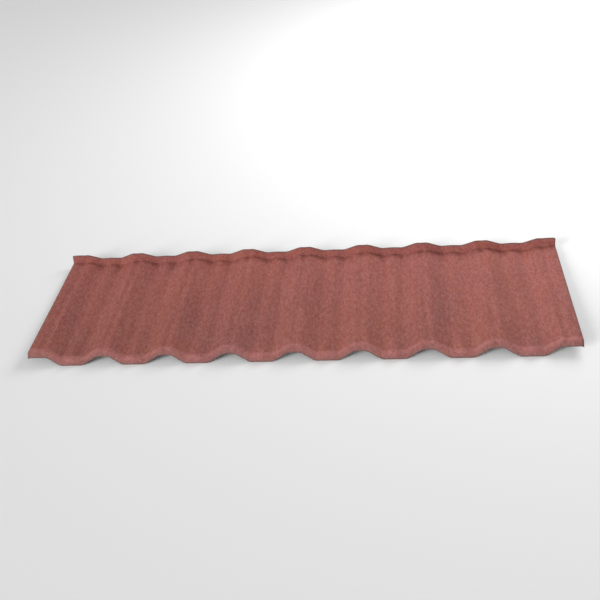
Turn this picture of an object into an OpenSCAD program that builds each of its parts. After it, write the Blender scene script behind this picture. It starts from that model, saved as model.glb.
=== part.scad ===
// Tile-effect metal roofing sheet: one pressed steel sheet with a stone coat.
// Waves run front to back, a slanted lip turns down along the nose, and an
// upstand rises along the back. Millimetres, nose towards -Y, lying on z = 0.

/* [Sheet] */
// width covered on the roof, from the first crest to the last
cover_w = 1290; // [1270:5:1310]
// pans across the sheet, each between two crests
pans = 8; // [7:1:9]
// sheet beyond the centre of each outer crest, for the side lap
side_lap = 35; // [24:1:42]
// width of the strip along each side that turns down
edge_w = 9; // [4:1:12]
// how far that strip turns down
edge_drop = 2.5; // [0:0.5:4]
// length along the slope, lip and upstand included
sheet_l = 420; // [380:5:460]
// thickness of the steel
steel_t = 0.45; // [0.35:0.05:0.6]
// thickness of the stone granules and their binder
coat_t = 1.05; // [0.6:0.05:1.4]

/* [Waves] */
// width of a crest between the middles of its rounded corners
crest_flat = 29; // [22:1:34]
// width of a pan between the middles of its rounded corners
pan_flat = 58; // [46:1:64]
// half the width of each rounded corner
corner_run = 6; // [4:0.5:8]
// height of the waves at the nose
nose_wave = 16.5; // [14:0.5:24]
// height of the waves at the back
back_wave = 13.5; // [10:0.5:18]
// width of the low rib that fills each pan
rib_w = 58; // [40:1:60]
// height of that rib
rib_h = 4.5; // [1:0.5:6]
// width of the shallow groove along each crest
groove_w = 28; // [16:1:32]
// depth of that groove
groove_h = 2; // [0:0.5:3]

/* [Nose] */
// how far the nose of a crest is set back from the nose of a pan
nose_set = 13; // [4:0.5:18]
// bend radius of the nose, on its outer side
nose_r = 6; // [3:0.5:9]
// angle of the lip below the sheet
lip_angle = 50; // [35:1:75]
// straight length of the lip below the bend
lip_l = 13.5; // [8:0.5:22]

/* [Back] */
// bend radius of the upstand, on its inner side
back_r = 5; // [3:0.5:8]
// angle of the upstand above the sheet
back_angle = 72; // [50:1:85]
// straight length of the upstand above the bend
back_l = 17; // [8:0.5:20]

/* [Look] */
// terracotta stone coat
coat_colour = [0.60, 0.31, 0.28];

/* [Hidden] */
skin_t = steel_t + coat_t;
pitch = cover_w / pans;
half_pitch = pitch / 2;
crest_half = crest_flat / 2;
pan_edge = half_pitch - pan_flat / 2;
flank_run = pan_edge - crest_half;
ease = corner_run / flank_run;
rib_half = rib_w / 2;
groove_half = groove_w / 2;
crest_level = crest_half - corner_run;
rib_start = pan_edge + corner_run;

// reach and drop of the nose in front of its bend line, and of the upstand behind its own
lip_reach = nose_r * sin(lip_angle) + lip_l * cos(lip_angle);
lip_drop = nose_r * (1 - cos(lip_angle)) + lip_l * sin(lip_angle);
back_reach = back_r * sin(back_angle) + back_l * cos(back_angle);
back_rise = back_r * (1 - cos(back_angle)) + back_l * sin(back_angle);
back_skin_y = skin_t * sin(back_angle);
back_skin_z = skin_t * cos(back_angle);
field_l = sheet_l - lip_reach - back_reach - back_skin_y;

// facets of each bend and of each turned edge, and where the finer stations lie
bend_steps = 3;
edge_steps = 3;
field_shares = [0.07, 0.2, 0.42, 0.7];
level_marks = [1/2, 1/4];
corner_marks = [-1, -1/3, 1/3, 1];
rib_marks = [1/4, 1/2, 3/4, 1];
// share of the ribs and grooves that is left along the top edge of the upstand
top_relief = 0.3;
// step for taking a slope across the sheet
probe = 0.01;

// height share at distance d from a crest centre, with corners rounded as parabolas
function filled(t) = t <= 0 ? 0 : t >= 1 ? t - 1/2 : t * t / 2;
function wave(d) = let (t = (pan_edge - d) / flank_run)
    (filled(t + ease) - filled(t - ease)) / (2 * ease);

// the rib that fills a pan and the groove along a crest, both as one soft swell
function swell(e, half) = e < half ? (1 + cos(180 * e / half)) / 2 : 0;
function relief(d) = rib_h * swell(half_pitch - d, rib_half) - groove_h * swell(d, groove_half);

// distance to the nearest crest centre: outside the outer crests the waves stay level
function crest_gap(x) = let (s = x + cover_w / 2, k = max(0, min(pans, round(s / pitch))))
    abs(s - k * pitch);
function height_share(x) = abs(x) > cover_w / 2 ? 1 : wave(crest_gap(x));

// how far the strip along each side has turned down
function turned(x) = let (e = abs(x) - cover_w / 2 - side_lap + edge_w)
    e > 0 ? edge_drop * pow(e / edge_w, 2) : 0;

// wave height between nose (0) and back (1): the press draws it deeper towards the nose
function depth(s) = back_wave + (nose_wave - back_wave) * pow(1 - s, 2);

// stations across half a pitch, from a crest to the middle of a pan
half_marks = concat(
    [0, crest_level / 2],
    [for (m = corner_marks) crest_half + m * corner_run],
    [for (m = corner_marks) pan_edge + m * corner_run],
    [for (m = rib_marks) rib_start + m * (half_pitch - rib_start)]);
last_mark = len(half_marks) - 1;
lap_marks = concat(
    [for (m = [0:edge_steps]) side_lap - edge_w * m / edge_steps],
    [for (m = level_marks) (side_lap - edge_w) * m]);
last_lap = len(lap_marks) - 1;
stations = concat(
    [for (d = lap_marks) -d],
    [for (k = [0:pans - 1]) each concat(
        [for (d = half_marks) k * pitch + d],
        [for (i = [last_mark - 1:-1:1]) (k + 1) * pitch - half_marks[i]])],
    [cover_w],
    [for (i = [last_lap:-1:0]) cover_w + lap_marks[i]]);

// rows of the section, front to back:
// [reach, rise, slope, share of the field, relief share, lean of the relief]
lip_row = [[-lip_reach, -lip_drop, lip_angle, 0, 0, 0]];
nose_rows = [for (i = [0:bend_steps]) let (a = lip_angle * (1 - i / bend_steps))
    [-nose_r * sin(a), -nose_r * (1 - cos(a)), a, 0, 1, a]];
field_rows = [for (s = field_shares) [0, 0, 0, s, 1, 0]];
back_rows = [for (i = [0:bend_steps]) let (a = back_angle * i / bend_steps)
    [back_r * sin(a), back_r * (1 - cos(a)), a, 1, 1, 0]];
top_row = [[back_reach, back_rise, back_angle, 1, top_relief, 0]];
rows = concat(lip_row, nose_rows, field_rows, back_rows, top_row);

// point of the upper face at x on one row
function upper(x, row) = let (w = height_share(x), s = row[3],
        h = relief(crest_gap(x)) * row[4])
    [x, nose_set * w * (1 - s) + field_l * s + row[0] - h * sin(row[5]),
     depth(s) * w + row[1] + h * cos(row[5]) - turned(x)];

// the same point of the lower face, one thickness in along the normal
function lower(x, row) = let (
        slope = (upper(x + probe, row) - upper(x - probe, row)) / (2 * probe),
        n = [slope[1] * sin(row[2]) - slope[2] * cos(row[2]), -sin(row[2]), cos(row[2])])
    upper(x, row) - skin_t * n / norm(n);

// resting tilt: the lip's lower edge and the back bend both touch the floor
foot_y = -lip_reach + skin_t * sin(lip_angle);
foot_drop = lip_drop + skin_t * cos(lip_angle);
pan_low = min([for (d = half_marks) back_wave * wave(d) + relief(d)]);
rest_tilt = atan((foot_drop - skin_t + pan_low) / (field_l - foot_y));
front_y = -lip_reach * cos(rest_tilt) - lip_drop * sin(rest_tilt);
rear_y = (field_l + back_reach + back_skin_y) * cos(rest_tilt)
    + (back_rise - back_skin_z + back_wave) * sin(rest_tilt);
rest_z = foot_y * sin(rest_tilt) + foot_drop * cos(rest_tilt);

// closed skin over two grids of points of the same size
module sheet_skin(over, under) {
    column_count = len(over);
    row_count = len(over[0]);
    far = column_count - 1;
    top = row_count - 1;
    function a(i, j) = i * row_count + j;
    function b(i, j) = column_count * row_count + a(i, j);
    function quad(p, q, r, s) = [[p, q, r], [p, r, s]];
    polyhedron(
        points = concat([for (c = over) each c], [for (c = under) each c]),
        faces = concat(
            [for (i = [0:far - 1], j = [0:top - 1]) each
                quad(a(i, j), a(i, j + 1), a(i + 1, j + 1), a(i + 1, j))],
            [for (i = [0:far - 1], j = [0:top - 1]) each
                quad(b(i, j), b(i + 1, j), b(i + 1, j + 1), b(i, j + 1))],
            [for (j = [0:top - 1]) each quad(a(0, j + 1), a(0, j), b(0, j), b(0, j + 1))],
            [for (j = [0:top - 1]) each
                quad(a(far, j), a(far, j + 1), b(far, j + 1), b(far, j))],
            [for (i = [0:far - 1]) each quad(a(i, 0), a(i + 1, 0), b(i + 1, 0), b(i, 0))],
            [for (i = [0:far - 1]) each
                quad(a(i + 1, top), a(i, top), b(i, top), b(i + 1, top))]),
        convexity = 10);
}

// the pressed sheet, lying on the floor on its lip and its back bend
module roofing_sheet() {
    across = [for (s = stations) s - cover_w / 2];
    color(coat_colour)
        translate([0, -(front_y + rear_y) / 2, rest_z])
            rotate([-rest_tilt, 0, 0])
                sheet_skin(
                    [for (x = across) [for (r = rows) upper(x, r)]],
                    [for (x = across) [for (r = rows) lower(x, r)]]);
}

roofing_sheet();
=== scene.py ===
"""Tile-effect metal roofing sheet: one pressed steel sheet under a terracotta stone coat.

One pitch is modelled from a flat blank, creased into crest, flanks and pan, and repeated across
the sheet. Then the sheet is worked the way the press does it: side laps drawn out, ribs pressed
up and grooves down, the nose folded down, the back folded up, and the skin given its thickness.
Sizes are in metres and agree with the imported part. The nose lip faces -Y and +Z is up.
"""

from __future__ import annotations

import logging
import math
from dataclasses import dataclass
from enum import Enum, IntEnum
from typing import Any, Callable, Mapping, Optional, Union

import bmesh
import bpy
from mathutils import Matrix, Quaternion, Vector


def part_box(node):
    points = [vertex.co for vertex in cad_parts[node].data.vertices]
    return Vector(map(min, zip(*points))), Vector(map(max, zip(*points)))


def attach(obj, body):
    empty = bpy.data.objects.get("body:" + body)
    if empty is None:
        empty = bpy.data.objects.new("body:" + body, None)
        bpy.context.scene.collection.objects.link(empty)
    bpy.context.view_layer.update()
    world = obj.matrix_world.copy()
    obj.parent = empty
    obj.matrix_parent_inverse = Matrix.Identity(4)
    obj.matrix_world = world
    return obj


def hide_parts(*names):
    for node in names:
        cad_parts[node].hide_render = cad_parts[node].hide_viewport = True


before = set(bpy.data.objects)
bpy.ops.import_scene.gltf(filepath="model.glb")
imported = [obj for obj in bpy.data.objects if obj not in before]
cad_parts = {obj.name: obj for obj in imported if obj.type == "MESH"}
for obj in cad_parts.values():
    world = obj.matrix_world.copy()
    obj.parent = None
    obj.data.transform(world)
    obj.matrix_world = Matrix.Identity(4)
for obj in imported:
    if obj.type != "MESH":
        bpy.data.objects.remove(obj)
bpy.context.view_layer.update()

CAD_NODE = "roofing_sheet"
LOG = logging.getLogger(CAD_NODE)

# numbers that the mesh carries at each point, for the finishes
LAYER = "layer"
FROM_NOSE = "from_nose"
FROM_RIM = "from_rim"

# distance in metres below which two places count as one
NEAR = 0.00005

Colour = tuple[float, float, float]
Place = tuple[float, float, float]
Span = tuple[float, float]
Number = Union[int, float, "Signal"]


class Skin(IntEnum):
    """Material slots of the sheet, in the order that its faces use them."""

    COAT = 0
    UNDERSIDE = 1
    CUT_EDGE = 2


class Side(Enum):
    """A side of the sheet, by the direction in which it is drawn out."""

    LEFT = -1.0
    RIGHT = 1.0


@dataclass(frozen=True)
class Signal:
    """One node output, with arithmetic written as on plain numbers."""

    graph: "Graph"
    socket: bpy.types.NodeSocket

    def __add__(self, other: Number) -> "Signal":
        """Adds a number or a signal."""
        return self.graph.maths("ADD", self, other)

    def __radd__(self, other: Number) -> "Signal":
        """Adds to a number."""
        return self.graph.maths("ADD", other, self)

    def __sub__(self, other: Number) -> "Signal":
        """Takes a number or a signal away."""
        return self.graph.maths("SUBTRACT", self, other)

    def __rsub__(self, other: Number) -> "Signal":
        """Takes the signal away from a number."""
        return self.graph.maths("SUBTRACT", other, self)

    def __mul__(self, other: Number) -> "Signal":
        """Multiplies by a number or a signal."""
        return self.graph.maths("MULTIPLY", self, other)

    def __rmul__(self, other: Number) -> "Signal":
        """Multiplies a number."""
        return self.graph.maths("MULTIPLY", other, self)

    def rise(self, low: float, high: float) -> "Signal":
        """A smooth step from 0 to 1.

        Args:
            low: value where the step starts.
            high: value where it ends.

        Returns:
            The step.
        """
        return self.graph.add(
            "ShaderNodeMapRange",
            {"interpolation_type": "SMOOTHSTEP"},
            {"Value": self, "From Min": low, "From Max": high})

    def between(self, low: float, high: float) -> "Signal":
        """Runs from one value, where the signal is 0, to another, where it is 1."""
        return low + (high - low) * self


@dataclass(frozen=True)
class Clouds:
    """A tint that comes in soft patches.

    Attributes:
        size: rough width of a patch, in metres.
        detail: how many finer layers the patches have.
        stretch: factor on the coordinates; a low one draws the patches out along its axis.
        edge: noise values at which a patch begins and is full.
        share: strength of the tint in a full patch.
    """

    size: float
    detail: float
    stretch: Place
    edge: Span
    share: float


class Graph:
    """The nodes of one material, added by code that reads like the recipe of a finish."""

    def __init__(self, name: str) -> None:
        """Starts an empty material.

        Args:
            name: name of the material.
        """
        self.material = bpy.data.materials.new(name)
        self.material.use_nodes = True
        self.tree = self.material.node_tree
        self.tree.nodes.clear()

    def add(
        self,
        kind: str,
        settings: Optional[Mapping[str, Any]] = None,
        inputs: Optional[Mapping[str, Any]] = None,
        output: Optional[str] = None,
    ) -> Signal:
        """Adds a node: its settings first, then the values or links of its sockets.

        Args:
            kind: the node's type.
            settings: properties of the node; "stops" holds the colours of a ramp by place.
            inputs: a value or a signal for each socket, by name.
            output: name of the wanted output, or None for the first one in use.

        Returns:
            The wanted output.
        """
        node = self.tree.nodes.new(kind)
        for key, value in (settings or {}).items():
            if key == "stops":
                self._fill_ramp(node.color_ramp, value)
            else:
                setattr(node, key, value)
        for key, value in (inputs or {}).items():
            self._feed(next(s for s in node.inputs if s.enabled and s.name == key), value)
        return Signal(self, next(s for s in node.outputs if s.enabled and output in (None, s.name)))

    def _feed(self, socket: bpy.types.NodeSocket, value: Any) -> None:
        """Links or sets one input.

        Args:
            socket: the input.
            value: a signal to link, or a value to set.
        """
        if isinstance(value, Signal):
            self.tree.links.new(value.socket, socket)
        else:
            socket.default_value = value

    @staticmethod
    def _fill_ramp(ramp: bpy.types.ColorRamp, stops: Mapping[float, Colour]) -> None:
        """Gives a ramp its stops.

        Args:
            ramp: the ramp of a new node.
            stops: colour at each place from 0 to 1.
        """
        while len(ramp.elements) < len(stops):
            ramp.elements.new(1.0)
        for element, (place, colour) in zip(ramp.elements, sorted(stops.items())):
            element.position = place
            element.color = (*colour, 1.0)

    def maths(self, operation: str, first: Number, second: Number) -> Signal:
        """Adds the Math node of an expression.

        Args:
            operation: the node's operation.
            first: left side.
            second: right side.

        Returns:
            The result.
        """
        node = self.tree.nodes.new("ShaderNodeMath")
        node.operation = operation
        self._feed(node.inputs[0], first)
        self._feed(node.inputs[1], second)
        return Signal(self, node.outputs[0])

    def mix(self, share: Number, first: Any, second: Any) -> Signal:
        """Mixes two colours.

        Args:
            share: 0 for the first colour, 1 for the second.
            first: a colour or a signal.
            second: a colour or a signal.

        Returns:
            The mixed colour.
        """
        pair = [c if isinstance(c, Signal) else (*c, 1.0) for c in (first, second)]
        return self.add(
            "ShaderNodeMix",
            {"data_type": "RGBA", "blend_type": "MIX"},
            {"Factor": share, "A": pair[0], "B": pair[1]})

    def place(self, stretch: Place = (1.0, 1.0, 1.0)) -> Signal:
        """Object coordinates in metres, times a factor along each axis."""
        return self.add(
            "ShaderNodeMapping",
            {"vector_type": "POINT"},
            {"Vector": self.add("ShaderNodeTexCoord", output="Object"), "Scale": stretch})

    def along(self, axis: str) -> Signal:
        """The object coordinate along one axis, in metres."""
        return self.add("ShaderNodeSeparateXYZ", inputs={"Vector": self.place()}, output=axis)

    def read(self, attribute: str) -> Signal:
        """A number that the mesh carries at each point."""
        return self.add("ShaderNodeAttribute", {"attribute_name": attribute}, output="Fac")

    def clouds(self, size: float, detail: float, stretch: Place = (1.0, 1.0, 1.0)) -> Signal:
        """Soft noise about the value one half.

        Args:
            size: rough width of its patches, in metres.
            detail: how many finer layers it has.
            stretch: factor on the coordinates along each axis.

        Returns:
            The noise.
        """
        return self.add(
            "ShaderNodeTexNoise",
            {"noise_dimensions": "3D"},
            {"Vector": self.place(stretch), "Scale": 1.0 / size, "Detail": detail})

    def tint(self, patches: Clouds) -> Signal:
        """The strength of a tint, from 0 between its patches to its share inside them."""
        noise = self.clouds(patches.size, patches.detail, patches.stretch)
        return patches.share * noise.rise(*patches.edge)

    def chips(self, size: float, output: str) -> Signal:
        """Angular cells, as of broken stone.

        Args:
            size: rough width of a chip, in metres.
            output: "Distance" from each chip's middle, or a random "Color" for each.

        Returns:
            The wanted output.
        """
        return self.add(
            "ShaderNodeTexVoronoi",
            {"voronoi_dimensions": "3D", "feature": "F1"},
            {"Vector": self.place(), "Scale": 1.0 / size},
            output)

    def draw(self, colour: Signal, output: str = "Red") -> Signal:
        """One channel of a colour, as a number."""
        return self.add("ShaderNodeSeparateColor", {"mode": "RGB"}, {"Color": colour}, output)

    def ramp(self, share: Signal, stops: Mapping[float, Colour], steps: bool = False) -> Signal:
        """Colours by a number.

        Args:
            share: the number, from 0 to 1.
            stops: colour at each place from 0 to 1.
            steps: whether each colour holds up to the next stop.

        Returns:
            The colour.
        """
        colours = self.add("ShaderNodeValToRGB", {"stops": stops}, {"Fac": share}, "Color")
        colours.socket.node.color_ramp.interpolation = "CONSTANT" if steps else "LINEAR"
        return colours

    def bump(self, relief: Signal, depth: float) -> Signal:
        """The normal of a surface with fine relief.

        Args:
            relief: height of the surface, from 0 to 1.
            depth: height of one unit of relief, in metres.

        Returns:
            The normal.
        """
        return self.add("ShaderNodeBump", inputs={"Height": relief, "Distance": depth})

    def close(self, inputs: Mapping[str, Any]) -> bpy.types.Material:
        """Ends the recipe in one shader.

        Args:
            inputs: a value or a signal for each of the shader's sockets.

        Returns:
            The finished material.
        """
        shader = self.add("ShaderNodeBsdfPrincipled", inputs=inputs)
        target = self.tree.nodes.new("ShaderNodeOutputMaterial")
        self.tree.links.new(shader.socket, target.inputs["Surface"])
        return self.material


@dataclass(frozen=True)
class StoneCoat:
    """Crushed terracotta stone, pressed into a matt binder.

    Attributes:
        chip: rough width of a stone chip.
        dust: rough width of a grain of the dust between the chips.
        dust_share: how much of the dust shows.
        terracotta: colour of the commonest stone.
        brown: a dark stone, and the tint of the streaks.
        rose: a pale stone, and the colour of the painted highlight along the bend of the nose.
        amber: an orange stone, and the tint of the warm patches.
        slate: a grey stone.
        painted_back_light: painted light, a lighter and redder colour towards the back of the
            sheet.
        painted_back_light_share: strength of that painted light at the back.
        nose_end: place along the sheet where it begins.
        back_end: place where it is full.
        streaks: broad brown streaks.
        fine_streaks: narrow ones.
        patches: faint brown patches.
        warmth: warm patches.
        bend: distances behind the nose's bend line between which lip gives way to bend.
        highlight_band: distances behind it between which the painted highlight along the bend gives
            way to the field.
        highlight_share: strength of that painted highlight.
        lip_sheen: painted sheen, a paler and greyer colour of the lip.
        lip_sheen_share: strength of that painted sheen.
        clump: rough width of a clump of like chips.
        clump_pull: how far clumps sway the lots that the chips draw.
        dark_lots: lots between which the deep red chips give way to plain ones.
        dark_share: how far the deep red shows.
        oxblood: that deep red.
        pale_lots: lots between which the plain chips give way to pale ones.
        pale_share: how far the pale colour shows.
        pale: that pale colour.
        binder: colour along the rim, where chips are missing.
        bare_rim: distances from the rim between which the binder gives way to chips.
        bare_share: how far the binder shows at the rim.
        roughness: at the two ends of the stones' draw.
        shine: strength of the gloss.
        relief: height of a chip.
        dust_relief: height of the dust, as a share of a chip's.
    """

    chip: float = 0.0013
    dust: float = 0.0005
    dust_share: float = 0.25
    terracotta: Colour = (0.356, 0.099, 0.090)
    brown: Colour = (0.188, 0.064, 0.057)
    rose: Colour = (0.478, 0.181, 0.170)
    amber: Colour = (0.425, 0.130, 0.066)
    slate: Colour = (0.148, 0.087, 0.079)
    painted_back_light: Colour = (0.506, 0.124, 0.105)
    painted_back_light_share: float = 0.16
    nose_end: float = -0.2
    back_end: float = 0.2
    streaks: Clouds = Clouds(0.030, 3.0, (1.0, 0.12, 1.0), (0.35, 0.68), 0.24)
    fine_streaks: Clouds = Clouds(0.008, 2.0, (1.0, 0.05, 1.0), (0.38, 0.62), 0.18)
    patches: Clouds = Clouds(0.110, 2.0, (1.0, 1.0, 1.0), (0.35, 0.65), 0.06)
    warmth: Clouds = Clouds(0.150, 3.0, (1.0, 0.5, 1.0), (0.38, 0.62), 0.20)
    bend: Span = (-0.011, -0.001)
    highlight_band: Span = (0.002, 0.0125)
    highlight_share: float = 0.60
    lip_sheen: Colour = (0.290, 0.158, 0.156)
    lip_sheen_share: float = 0.45
    clump: float = 0.0065
    clump_pull: float = 1.5
    dark_lots: Span = (0.14, 0.20)
    dark_share: float = 0.46
    oxblood: Colour = (0.215, 0.038, 0.030)
    pale_lots: Span = (0.80, 0.86)
    pale_share: float = 0.32
    pale: Colour = (0.470, 0.255, 0.230)
    binder: Colour = (0.150, 0.100, 0.090)
    bare_rim: Span = (0.0015, 0.004)
    bare_share: float = 0.75
    roughness: Span = (0.80, 0.95)
    shine: float = 0.25
    relief: float = 0.00035
    dust_relief: float = 0.3

    @property
    def stones(self) -> dict[float, Colour]:
        """The stones, by where each one's share of the draw begins."""
        return {
            0.0: self.terracotta, 0.42: self.brown, 0.56: self.rose,
            0.70: self.amber, 0.86: self.slate, 0.92: self.terracotta}

    def material(self) -> bpy.types.Material:
        """Chips over dust, tinted in streaks, with a painted highlight and sheen along the nose,
        painted light towards the back, and bare along the rim.
        """
        graph = Graph("stone_coat")
        cells = graph.chips(self.chip, "Color")
        kind = graph.draw(cells)
        tinted = self._tint(graph, self._mix_stones(graph, kind))
        grained = self._grain(graph, cells, self._paint_nose_light(graph, tinted))
        bare = 1.0 - graph.read(FROM_RIM).rise(*self.bare_rim)
        height = 1.0 - graph.chips(self.chip, "Distance")
        grit = height + self.dust_relief * graph.clouds(self.dust, detail=2.0)
        return graph.close({
            "Base Color": graph.mix(self.bare_share * bare, grained, self.binder),
            "Roughness": kind.between(*self.roughness),
            "Specular IOR Level": self.shine,
            "Normal": graph.bump(grit, self.relief)})

    def _mix_stones(self, graph: Graph, kind: Signal) -> Signal:
        """Colours each chip as a stone, with dust over all of them.

        Args:
            graph: the material.
            kind: the number that each chip draws for its kind.

        Returns:
            The colour.
        """
        chips = graph.ramp(kind, self.stones, steps=True)
        specks = graph.clouds(self.dust, detail=1.0)
        dust = graph.ramp(specks, {0.35: self.brown, 0.65: self.rose})
        return graph.mix(self.dust_share, chips, dust)

    def _tint(self, graph: Graph, stone: Signal) -> Signal:
        """Tints the stone in brown streaks and warm patches, and paints light on it: lighter and
        redder towards the back.

        Args:
            graph: the material.
            stone: the colour so far.

        Returns:
            The tinted colour.
        """
        brown = graph.tint(self.streaks) + graph.tint(self.fine_streaks) + graph.tint(self.patches)
        tinted = graph.mix(brown, stone, self.brown)
        # painted light: the coat turns lighter and redder towards the back
        backward = graph.along("Y").rise(self.nose_end, self.back_end)
        back_lit = graph.mix(self.painted_back_light_share * backward, tinted, self.painted_back_light)
        return graph.mix(graph.tint(self.warmth), back_lit, self.amber)

    def _paint_nose_light(self, graph: Graph, tinted: Signal) -> Signal:
        """Paints a highlight on the band where the nose bends, and a paler, greyer sheen on the lip
        in front of it.

        Args:
            graph: the material.
            tinted: the colour so far.

        Returns:
            The worn colour.
        """
        behind = graph.read(FROM_NOSE)
        bent = behind.rise(*self.bend)
        # painted highlight: a paler band where the nose bends
        highlit = bent - behind.rise(*self.highlight_band)
        brightened = graph.mix(self.highlight_share * highlit, tinted, self.rose)
        # painted sheen: the lip paler and greyer
        return graph.mix(self.lip_sheen_share * (1.0 - bent), brightened, self.lip_sheen)

    def _grain(self, graph: Graph, cells: Signal, highlit: Signal) -> Signal:
        """Turns some chips deep red and others pale, by a lot that each draws.

        Args:
            graph: the material.
            cells: a random colour for each chip.
            highlit: the colour so far, with the painted highlight and sheen of the nose.

        Returns:
            The grained colour.
        """
        clumps = self.clump_pull * graph.clouds(self.clump, detail=1.0, stretch=(1.0, 0.5, 1.0))
        lot = graph.draw(cells, "Green") + clumps - self.clump_pull / 2
        dark = 1.0 - lot.rise(*self.dark_lots)
        deepened = graph.mix(self.dark_share * dark, highlit, self.oxblood)
        return graph.mix(self.pale_share * lot.rise(*self.pale_lots), deepened, self.pale)


@dataclass(frozen=True)
class PrimedSteel:
    """Zinc-aluminium coated steel under a thin grey primer.

    Attributes:
        primer: colour of the primer.
        bare: colour of the metal that shows through it.
        spangle: rough width of a crystal of the zinc.
        spangle_share: how far the crystals show.
        roller: rough width of a mark of the roller.
        roller_share: how far those marks show.
        metal: how metallic the surface is.
        roughness: between the marks and on them.
        relief: height of a mark.
        spangle_relief: height of a crystal, as a share of a mark's.
    """

    primer: Colour = (0.34, 0.345, 0.33)
    bare: Colour = (0.42, 0.43, 0.43)
    spangle: float = 0.006
    spangle_share: float = 0.25
    roller: float = 0.012
    roller_share: float = 0.25
    metal: float = 0.25
    roughness: Span = (0.42, 0.58)
    relief: float = 0.00004
    spangle_relief: float = 0.2

    def material(self) -> bpy.types.Material:
        """Even primer with a faint spangle and roller marks along the sheet."""
        graph = Graph("primed_steel")
        spangle = graph.draw(graph.chips(self.spangle, "Color"))
        marks = graph.clouds(self.roller, detail=4.0, stretch=(1.0, 0.05, 1.0))
        shown = self.spangle_share * spangle + self.roller_share * marks
        return graph.close({
            "Base Color": graph.mix(shown, self.primer, self.bare),
            "Metallic": self.metal,
            "Roughness": marks.between(*self.roughness),
            "Normal": graph.bump(marks + self.spangle_relief * spangle, self.relief)})


@dataclass(frozen=True)
class CutEdge:
    """The sheared edge: bright steel below, the broken stone coat above it.

    Attributes:
        steel: colour of the steel.
        grit: colour of the broken chips.
        grit_dark: colour between them.
        chip: rough width of a broken chip.
        steel_share: share of the skin that is steel.
        blur: share of the skin over which steel gives way to coat.
        tear: how ragged that border is, as a share of the skin.
        tear_size: rough width of its raggedness.
        metal: how metallic the steel is.
        roughness: of the steel and of the coat.
        relief: height of a broken chip.
    """

    steel: Colour = (0.30, 0.29, 0.28)
    grit: Colour = (0.25, 0.115, 0.100)
    grit_dark: Colour = (0.14, 0.090, 0.085)
    chip: float = 0.0009
    steel_share: float = 0.2
    blur: float = 0.1
    tear: float = 0.12
    tear_size: float = 0.001
    metal: float = 0.7
    roughness: Span = (0.45, 0.90)
    relief: float = 0.0003

    def material(self) -> bpy.types.Material:
        """Steel and coat, told apart by each point's place through the skin."""
        graph = Graph("cut_edge")
        border = graph.read(LAYER) + self.tear * graph.clouds(self.tear_size, detail=2.0)
        coat = border.rise(self.steel_share, self.steel_share + self.blur)
        chips = graph.chips(self.chip, "Distance")
        grit = graph.mix(chips, self.grit, self.grit_dark)
        return graph.close({
            "Base Color": graph.mix(coat, self.steel, grit),
            "Metallic": coat.between(self.metal, 0.0),
            "Roughness": coat.between(*self.roughness),
            "Normal": graph.bump(coat * (1.0 - chips), self.relief)})


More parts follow.
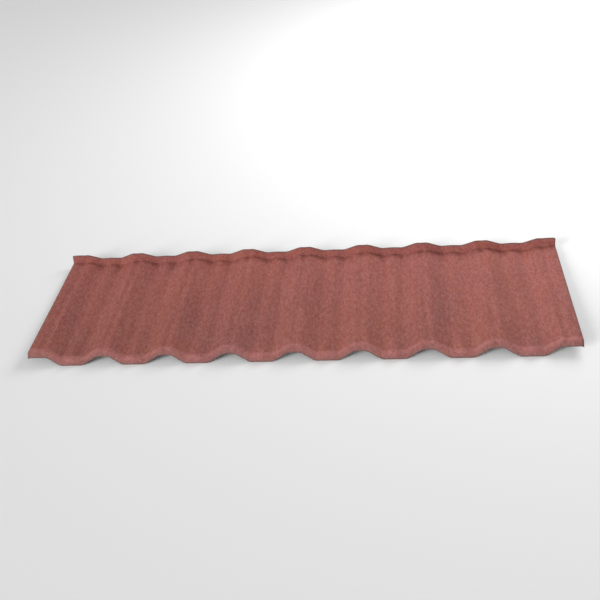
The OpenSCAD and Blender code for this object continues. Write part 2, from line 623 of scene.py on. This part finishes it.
class Bench:
    """One mesh open for editing, where what an operator acts on is selected by its place."""

    def __init__(self, name: str, centre: Place, width: float, length: float) -> None:
        """Lays a flat blank on the bench.

        Args:
            name: name of the piece.
            centre: centre of the blank.
            width: size along X.
            length: size along Y.
        """
        bpy.ops.object.select_all(action="DESELECT")
        bpy.ops.mesh.primitive_plane_add(size=1.0, location=centre)
        bpy.ops.object.transform_apply(location=True, rotation=True, scale=True)
        self.piece: bpy.types.Object = bpy.context.active_object
        self.piece.name = self.piece.data.name = name
        bpy.ops.object.mode_set(mode="EDIT")
        bpy.ops.transform.resize(value=(width, length, 1.0), center_override=centre)

    def points(self, wanted: Callable[[Vector], bool]) -> None:
        """Selects the points whose place is wanted.

        Args:
            wanted: test of a place.
        """
        bpy.ops.mesh.select_mode(type="VERT")
        bpy.ops.mesh.select_all(action="DESELECT")
        mesh = bmesh.from_edit_mesh(self.piece.data)
        for vertex in mesh.verts:
            vertex.select = not vertex.hide and wanted(vertex.co)
        mesh.select_flush(True)
        bmesh.update_edit_mesh(self.piece.data)

    def edges(self, wanted: Callable[[bmesh.types.BMEdge], bool]) -> None:
        """Selects the edges that are wanted.

        Args:
            wanted: test of an edge.
        """
        bpy.ops.mesh.select_mode(type="EDGE")
        bpy.ops.mesh.select_all(action="DESELECT")
        mesh = bmesh.from_edit_mesh(self.piece.data)
        for edge in mesh.edges:
            if wanted(edge):
                edge.select = True
        mesh.select_flush_mode()
        bmesh.update_edit_mesh(self.piece.data)

    def folds(self, angle: float) -> None:
        """Selects the edges where two faces meet at more than an angle."""
        bpy.ops.mesh.select_mode(type="EDGE")
        bpy.ops.mesh.select_all(action="DESELECT")
        bpy.ops.mesh.edges_select_sharp(sharpness=angle)

    def everything(self) -> None:
        """Selects all that shows."""
        bpy.ops.mesh.select_all(action="SELECT")

    def isolate(self) -> None:
        """Hides all but what is selected, so that the next steps leave the rest alone."""
        bpy.ops.mesh.hide(unselected=True)

    def reveal(self) -> None:
        """Shows the whole mesh again."""
        bpy.ops.mesh.reveal(select=False)

    def crease(self, place: Place, normal: Place) -> None:
        """Cuts the whole mesh along a plane, keeping both sides."""
        self.everything()
        bpy.ops.mesh.bisect(plane_co=place, plane_no=normal)

    def move(self, step: Place) -> None:
        """Moves what is selected."""
        bpy.ops.transform.translate(value=step)

    def swell(self, step: Place, reach: float) -> None:
        """Moves what is selected, and its neighbours less and less up to a reach."""
        bpy.ops.transform.translate(
            value=step, use_proportional_edit=True, proportional_edit_falloff="SMOOTH",
            proportional_size=reach)

    def draw_out(self, step: Place) -> None:
        """Extrudes the selected edges by one step."""
        bpy.ops.mesh.extrude_region_move(TRANSFORM_OT_translate={"value": step})

    def round_off(self, offset: float, steps: int) -> None:
        """Bevels the selected edges.

        Args:
            offset: distance of the new edges from the old one.
            steps: facets of the rounding.
        """
        bpy.ops.mesh.bevel(
            offset_type="OFFSET", offset=offset, segments=steps, profile=0.5,
            affect="EDGES", clamp_overlap=False)

    def finish(self, kind: str, settings: Mapping[str, Any]) -> None:
        """Adds a modifier in object mode and applies it.

        Args:
            kind: the modifier's type.
            settings: its properties.
        """
        bpy.ops.object.mode_set(mode="OBJECT")
        modifier = self.piece.modifiers.new(kind.lower(), kind)
        for key, value in settings.items():
            setattr(modifier, key, value)
        bpy.ops.object.modifier_apply(modifier=modifier.name)
        bpy.ops.object.mode_set(mode="EDIT")

    def close(self) -> bpy.types.Object:
        """Ends the editing and gives the piece."""
        bpy.ops.object.mode_set(mode="OBJECT")
        return self.piece


@dataclass
class RoofingSheet:
    """The pressed sheet: its sizes, how it is formed, and how it is dressed.

    Attributes:
        cover: width covered on the roof, from the first crest to the last.
        pans: pans across the sheet.
        length: length along the slope, lip and upstand included.
        skin: thickness of steel and stone coat together.
        edge_strip: width of the strip along each side that turns down.
        edge_drop: how far that strip turns down.
        crest_flat: width of a crest between the middles of its rounded corners.
        pan_flat: width of a pan between the middles of its rounded corners.
        corner_run: half the width of each rounded corner.
        nose_wave: height of the waves at the nose.
        back_wave: height of the waves at the back.
        rib_half: half the width of the low rib that fills each pan.
        rib_height: height of that rib.
        groove_half: half the width of the shallow groove along each crest.
        groove_depth: depth of that groove.
        top_relief: share of rib and groove that is left along the top edge of the upstand.
        nose_set: how far the nose of a crest is set back from the nose of a pan.
        nose_radius: bend radius of the nose.
        lip_angle: angle of the lip below the sheet.
        lip: straight length of the lip.
        back_radius: bend radius of the upstand.
        back_angle: angle of the upstand above the sheet.
        upstand: straight length of the upstand.
        rows: rows of faces between the two bends.
        columns: columns of faces across half of a pan's level part, and across each side lap.
        crest_columns: columns of faces across half of a crest's level part.
        corner_steps: facets of each rounded corner.
        bend_steps: facets of each bend.
        edge_steps: facets of the strip along each side.
        rim_ease: rounding of the sheared edge.
        rim_steps: facets of that rounding.
        rim_fold: faces that meet at more than this angle meet at the rim.
        smooth_fold: faces that meet at less than this angle are shaded as one.
    """

    cover: float = 1.290
    pans: int = 8
    length: float = 0.420
    skin: float = 0.0015
    edge_strip: float = 0.009
    edge_drop: float = 0.0025
    crest_flat: float = 0.029
    pan_flat: float = 0.058
    corner_run: float = 0.006
    nose_wave: float = 0.0165
    back_wave: float = 0.0135
    rib_half: float = 0.029
    rib_height: float = 0.0045
    groove_half: float = 0.014
    groove_depth: float = 0.002
    top_relief: float = 0.3
    nose_set: float = 0.013
    nose_radius: float = 0.006
    lip_angle: float = math.radians(50)
    lip: float = 0.0135
    back_radius: float = 0.005
    back_angle: float = math.radians(72)
    upstand: float = 0.017
    rows: int = 16
    columns: int = 7
    crest_columns: int = 3
    corner_steps: int = 5
    bend_steps: int = 6
    edge_steps: int = 3
    rim_ease: float = 0.0003
    rim_steps: int = 2
    rim_fold: float = math.radians(60)
    smooth_fold: float = math.radians(35)

    @property
    def pitch(self) -> float:
        """Width of one crest and one pan."""
        return self.cover / self.pans

    @property
    def crest_half(self) -> float:
        """Half the width of a crest."""
        return self.crest_flat / 2

    @property
    def pan_edge(self) -> float:
        """Distance of a pan's edge from the middle of the crest beside it."""
        return (self.pitch - self.pan_flat) / 2

    @property
    def lip_reach(self) -> float:
        """How far the lip reaches in front of its bend."""
        return self.nose_radius * math.sin(self.lip_angle) + self.lip * math.cos(self.lip_angle)

    @property
    def lip_drop(self) -> float:
        """How far the lip drops below the sheet."""
        bend = self.nose_radius * (1 - math.cos(self.lip_angle))
        return bend + self.lip * math.sin(self.lip_angle)

    @property
    def field(self) -> float:
        """Length of the sheet between its two bends."""
        bend = (self.back_radius + self.skin) * math.sin(self.back_angle)
        return self.length - self.lip_reach - bend - self.upstand * math.cos(self.back_angle)

    def set_back(self, place: float) -> float:
        """How far the bend of the nose is set back.

        Args:
            place: distance from the middle of the sheet, across it.

        Returns:
            The distance behind the nose of a pan without its rib.
        """
        side_on = min(abs(place), self.cover / 2)
        gap = abs((side_on + (self.cover + self.pitch) / 2) % self.pitch - self.pitch / 2)
        share = min(1.0, max(0.0, (self.pan_edge - gap) / (self.pan_edge - self.crest_half)))
        rib = math.cos(math.pi * min(1.0, (self.pitch / 2 - gap) / self.rib_half))
        groove = math.cos(math.pi * min(1.0, gap / self.groove_half))
        relief = (self.rib_height * (1 + rib) - self.groove_depth * (1 + groove)) / 2
        return self.nose_set * share - relief * math.sin(self.lip_angle)

    def depth(self, share: float) -> float:
        """Height of the waves between the nose, at 0, and the back, at 1."""
        return self.back_wave + (self.nose_wave - self.back_wave) * (1 - share) ** 2

    def build(self) -> bpy.types.Object:
        """Models the sheet and lays it in its place.

        Returns:
            The finished piece, with its material slots still empty.
        """
        middle = (self.pitch / 2, self.field / 2, 0.0)
        bench = Bench("stone_coated_sheet", middle, self.pitch, self.field)
        self._crease(bench)
        self._raise_waves(bench)
        self._round_creases(bench)
        self._repeat(bench)
        for side in Side:
            self._draw_side_lap(bench, side)
        self._press_relief(bench, (0.0, 0.0, 1.0))
        self._fold_nose(bench)
        self._fold_back(bench)
        self._thicken(bench)
        return self._lay_down(bench)

    def _crease(self, bench: Bench) -> None:
        """Cuts the blank along its creases and into rows.

        Args:
            bench: the blank.
        """
        for place in (self.crest_half, self.pan_edge):
            bench.crease((place, 0.0, 0.0), (1.0, 0.0, 0.0))
            bench.crease((self.pitch - place, 0.0, 0.0), (1.0, 0.0, 0.0))
        for row in range(1, self.rows):
            bench.crease((0.0, self.field * row / self.rows, 0.0), (0.0, 1.0, 0.0))

    def _raise_waves(self, bench: Bench) -> None:
        """Raises the crests row by row, deeper and set back towards the nose.

        Args:
            bench: the creased blank.
        """
        half = self.pitch / 2
        for row in range(self.rows + 1):
            share = row / self.rows
            line = self.field * share
            bench.points(lambda p: abs(p.x - half) > half - self.crest_half - NEAR
                         and abs(p.y - line) < NEAR)
            bench.move((0.0, self.nose_set * (1 - share), self.depth(share)))

    def _round_creases(self, bench: Bench) -> None:
        """Rounds the creases, then rules the flat of the pan and of the crest into columns.

        Args:
            bench: the waved blank.
        """
        half = self.pitch / 2

        def runs_along(edge: bmesh.types.BMEdge) -> bool:
            """Whether an edge lies on one of the creases."""
            ends = [abs(v.co.x - half) for v in edge.verts]
            creases = (half - self.crest_half, half - self.pan_edge)
            return any(all(abs(end - crease) < NEAR for end in ends) for crease in creases)

        bench.edges(runs_along)
        bench.round_off(self.corner_run, self.corner_steps)
        level = self.pan_flat / 2 - self.corner_run
        for step in range(1 - self.columns, self.columns):
            bench.crease((half + level * step / self.columns, 0.0, 0.0), (1.0, 0.0, 0.0))
        level = self.crest_half - self.corner_run
        for step in range(1, self.crest_columns):
            place = level * step / self.crest_columns
            bench.crease((place, 0.0, 0.0), (1.0, 0.0, 0.0))
            bench.crease((self.pitch - place, 0.0, 0.0), (1.0, 0.0, 0.0))

    def _repeat(self, bench: Bench) -> None:
        """Repeats the pitch across the sheet and centres it.

        Args:
            bench: one pitch.
        """
        bench.finish("ARRAY", {
            "count": self.pans, "use_relative_offset": False, "use_constant_offset": True,
            "constant_offset_displace": (self.pitch, 0.0, 0.0),
            "use_merge_vertices": True, "merge_threshold": NEAR})
        bench.everything()
        bench.move((-self.cover / 2, 0.0, 0.0))

    def _draw_side_lap(self, bench: Bench, side: Side) -> None:
        """Draws the outer crest out sideways and turns its edge strip down.

        Args:
            bench: the sheet.
            side: which side.
        """
        line = side.value * self.cover / 2
        overhang = (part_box(CAD_NODE)[1].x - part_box(CAD_NODE)[0].x - self.cover) / 2
        bench.edges(lambda e: e.is_boundary and all(abs(v.co.x - line) < NEAR for v in e.verts))
        for _ in range(self.columns):
            bench.draw_out((side.value * (overhang - self.edge_strip) / self.columns, 0.0, 0.0))
        fallen = 0.0
        for step in range(1, self.edge_steps + 1):
            drop = self.edge_drop * (step / self.edge_steps) ** 2
            bench.draw_out((side.value * self.edge_strip / self.edge_steps, 0.0, fallen - drop))
            fallen = drop

    def _press_relief(self, bench: Bench, way: Place) -> None:
        """Presses the ribs of the pans up and the grooves of the crests down, where they show.

        Args:
            bench: the sheet, or the part of it that isn't hidden.
            way: where a rib goes for each metre of its height; a groove goes the other way.
        """
        for phase, height, reach in (
                (0.5, self.rib_height, self.rib_half), (0.0, -self.groove_depth, self.groove_half)):
            middles = [(k + phase) * self.pitch - self.cover / 2 for k in range(self.pans + 1)]
            bench.points(lambda p: any(abs(p.x - middle) < NEAR for middle in middles))
            bench.swell(tuple(height * part for part in way), reach)

    def _fold_nose(self, bench: Bench) -> None:
        """Folds the lip down along the nose; ribs and grooves run over the bend and end on it.

        Args:
            bench: the sheet, flat at its nose.
        """
        turn = self.lip_angle / 2
        corner = self.nose_radius * math.tan(turn)
        run = self.lip + corner
        bench.points(lambda p: p.y < self.nose_set + NEAR)
        bench.isolate()
        bench.move((0.0, -corner, 0.0))
        self._press_relief(bench, (0.0, -math.tan(turn), 0.0))
        bench.everything()
        bench.draw_out((0.0, -run * math.cos(self.lip_angle), -run * math.sin(self.lip_angle)))
        bench.isolate()
        self._press_relief(bench, (0.0, math.tan(turn), -1.0))
        bench.reveal()
        bench.folds(turn)
        bench.round_off(corner, self.bend_steps)

    def _fold_back(self, bench: Bench) -> None:
        """Folds the upstand up along the back; ribs and grooves fade towards its top edge.

        Args:
            bench: the sheet, flat at its back.
        """
        turn = self.back_angle / 2
        corner = self.back_radius * math.tan(turn)
        run = self.upstand + corner
        bench.points(lambda p: p.y > self.field - NEAR)
        bench.move((0.0, corner, 0.0))
        bench.draw_out((0.0, run * math.cos(self.back_angle), run * math.sin(self.back_angle)))
        bench.isolate()
        self._press_relief(bench, (0.0, 0.0, self.top_relief - 1.0))
        bench.reveal()
        bench.folds(turn)
        bench.round_off(corner, self.bend_steps)

    def _thicken(self, bench: Bench) -> None:
        """Gives the skin its thickness below the coat, and eases the edge of the rim.

        Args:
            bench: the open sheet.
        """
        bench.everything()
        bpy.ops.mesh.normals_make_consistent(inside=False)
        mesh = bmesh.from_edit_mesh(bench.piece.data)
        if sum(face.normal.z for face in mesh.faces) < 0:
            bpy.ops.mesh.flip_normals()
        for _ in Skin:
            bench.piece.data.materials.append(None)
        bench.finish("SOLIDIFY", {
            "thickness": self.skin, "offset": -1.0, "use_even_offset": True,
            "use_quality_normals": True, "material_offset": int(Skin.UNDERSIDE),
            "material_offset_rim": int(Skin.CUT_EDGE)})
        self._mark_points(bench)
        bench.folds(self.rim_fold)
        bench.round_off(self.rim_ease, self.rim_steps)

    def _mark_points(self, bench: Bench) -> None:
        """Writes three numbers at each point, for the finishes.

        They are its place through the skin, 1 on the coat and 0 on the steel below, how far it
        lies behind the nose, which is set back at the crests, and its distance from the rim.

        Args:
            bench: the sheet with its thickness.
        """
        bpy.ops.object.mode_set(mode="OBJECT")
        mesh = bench.piece.data
        layers = [0.0] * len(mesh.vertices)
        inward = [self.upstand] * len(mesh.vertices)
        for polygon in mesh.polygons:
            if polygon.material_index == Skin.COAT:
                for index in polygon.vertices:
                    layers[index] = 1.0
            elif polygon.material_index == Skin.CUT_EDGE:
                for index in polygon.vertices:
                    inward[index] = 0.0
        for edge in mesh.edges:
            near, far = sorted(edge.vertices, key=lambda index: inward[index])
            if inward[near] == 0.0 < inward[far]:
                step = (mesh.vertices[near].co - mesh.vertices[far].co).length
                inward[far] = min(inward[far], step)
        behind = [v.co.y - self.set_back(v.co.x) for v in mesh.vertices]
        for name, values in ((LAYER, layers), (FROM_NOSE, behind), (FROM_RIM, inward)):
            mesh.attributes.new(name, "FLOAT", "POINT").data.foreach_set("value", values)
        bpy.ops.object.mode_set(mode="EDIT")

    def _lay_down(self, bench: Bench) -> bpy.types.Object:
        """Tips the sheet onto its lip and back bend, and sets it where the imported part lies.

        Args:
            bench: the finished mesh.

        Returns:
            The piece, at the origin and unturned.
        """
        piece = bench.close()
        own = [vertex.co for vertex in piece.data.vertices]
        lip = min(own, key=lambda p: p.z)
        back = min((p for p in own if p.y > self.field - NEAR), key=lambda p: p.z)
        tilt = math.atan2(back.z - lip.z, back.y - lip.y)
        LOG.info("rest tilt %.2f degrees", math.degrees(tilt))
        piece.rotation_euler = (-tilt, 0.0, 0.0)
        bpy.ops.object.transform_apply(location=True, rotation=True, scale=True)
        low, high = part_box(CAD_NODE)
        own = [vertex.co for vertex in piece.data.vertices]
        ends = [p.y for p in own]
        piece.location = (
            0.0, (low.y + high.y - min(ends) - max(ends)) / 2, low.z - min(p.z for p in own))
        bpy.ops.object.transform_apply(location=True, rotation=True, scale=True)
        bpy.ops.object.shade_smooth_by_angle(angle=self.smooth_fold)
        return piece

    def dress(self, piece: bpy.types.Object) -> None:
        """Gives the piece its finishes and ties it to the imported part.

        Args:
            piece: the sheet.
        """
        finishes = {
            Skin.COAT: StoneCoat(), Skin.UNDERSIDE: PrimedSteel(), Skin.CUT_EDGE: CutEdge()}
        for skin, finish in finishes.items():
            piece.data.materials[skin] = finish.material()
        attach(piece, "root")
        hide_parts(CAD_NODE)


def facing(place: Place, target: Place) -> Quaternion:
    """The turn that points a lamp or a camera from its place at a target."""
    return (Vector(target) - Vector(place)).to_track_quat("-Z", "Y")


@dataclass(frozen=True)
class Lamp:
    """A soft round lamp that faces the sheet.

    Attributes:
        name: what the lamp is for.
        place: where it hangs.
        size: width of its disk.
        power: its power in watts.
    """

    name: str
    place: Place
    size: float
    power: float

    def hang(self, target: Place) -> None:
        """Hangs the lamp and aims it.

        Args:
            target: what it is aimed at.
        """
        bpy.ops.object.light_add(type="AREA", location=self.place)
        lamp = bpy.context.active_object
        lamp.name = self.name
        lamp.data.shape = "DISK"
        lamp.data.size = self.size
        lamp.data.energy = self.power
        lamp.rotation_euler = facing(self.place, target).to_euler()


@dataclass
class Studio:
    """Pale floor, soft light, and the camera.

    Attributes:
        floor_size: width of the floor.
        floor_tone: colour of the floor.
        floor_roughness: its roughness.
        lamps: a key lamp at the front left, and a weaker one behind on the right.
        fill: strength of the light from all round.
        eye: place of the camera.
        target: what the camera looks at.
        roll: turn of the camera about its own axis.
        focal: focal length in millimetres.
    """

    floor_size: float = 24.0
    floor_tone: Colour = (0.92, 0.92, 0.92)
    floor_roughness: float = 0.9
    lamps: tuple[Lamp, ...] = (
        Lamp("key_lamp", (-24.0, -19.2, 10.8), 15.9, 8640.0),
        Lamp("back_lamp", (1.2, 1.7, 1.2), 1.2, 37.0))
    fill: float = 0.385
    eye: Place = (0.255, -1.576, 1.345)
    target: Place = (0.0, 0.0, 0.017)
    roll: float = math.radians(-7.6)
    focal: float = 47.7

    def build(self) -> None:
        """Sets the floor, the lights and the camera."""
        self._lay_floor()
        for lamp in self.lamps:
            lamp.hang(self.target)
        self._fill_room()
        self._set_camera()

    def _lay_floor(self) -> None:
        """Lays the floor just under the sheet."""
        bench = Bench("studio_floor", (0.0, 0.0, -NEAR), self.floor_size, self.floor_size)
        bpy.ops.mesh.subdivide(number_cuts=3)
        floor = bench.close()
        floor.data.materials.append(Graph("studio_floor").close({
            "Base Color": (*self.floor_tone, 1.0), "Roughness": self.floor_roughness}))

    def _fill_room(self) -> None:
        """Fills the room with even light, and shows colours as they are."""
        world = bpy.data.worlds.new("studio_room")
        world.use_nodes = True
        background = world.node_tree.nodes["Background"]
        background.inputs["Color"].default_value = (1.0, 1.0, 1.0, 1.0)
        background.inputs["Strength"].default_value = self.fill
        bpy.context.scene.world = world
        bpy.context.scene.view_settings.view_transform = "Standard"

    def _set_camera(self) -> None:
        """Sets the camera at the photograph's viewing angle."""
        bpy.ops.object.camera_add(location=self.eye)
        camera = bpy.context.active_object
        camera.data.lens = self.focal
        look = facing(self.eye, self.target) @ Quaternion((0.0, 0.0, 1.0), self.roll)
        camera.rotation_euler = look.to_euler()
        bpy.context.scene.camera = camera


def main() -> None:
    """Builds the sheet and the studio, and reports each piece."""
    logging.basicConfig(level=logging.INFO, format="%(name)s: %(message)s")
    sheet = RoofingSheet()
    piece = sheet.build()
    sheet.dress(piece)
    triangles = sum(len(polygon.vertices) - 2 for polygon in piece.data.polygons)
    LOG.info("%s: %d triangles", piece.name, triangles)
    Studio().build()


if __name__ == "__main__":
    main()
